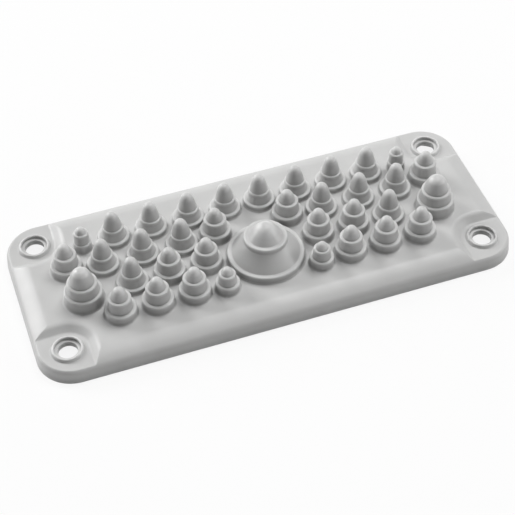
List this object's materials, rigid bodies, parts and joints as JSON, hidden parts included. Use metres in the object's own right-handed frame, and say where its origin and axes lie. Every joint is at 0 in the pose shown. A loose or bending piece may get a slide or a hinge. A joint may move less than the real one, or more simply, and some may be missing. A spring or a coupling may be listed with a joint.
{
  "type": "cable entry plate",
  "caption": "Rectangular moulded cable entry plate with a rounded rim, staggered stepped nipples that are cut open to pass cables, and a collared screw hole on a sunk pad in each corner.",
  "frame": {"origin": "middle of the mounting face, on the plane that the skirt stands on", "axes": "+X along the plate, +Y across it towards the rear row of nipples, +Z out of the nipples"},
  "size_m": [0.1484, 0.0616, 0.0198],
  "materials": {
    "elastomer": "matte moulded"
  },
  "bodies": {
    "root": {"entry_plate": "elastomer"}
  },
  "joints": []
}
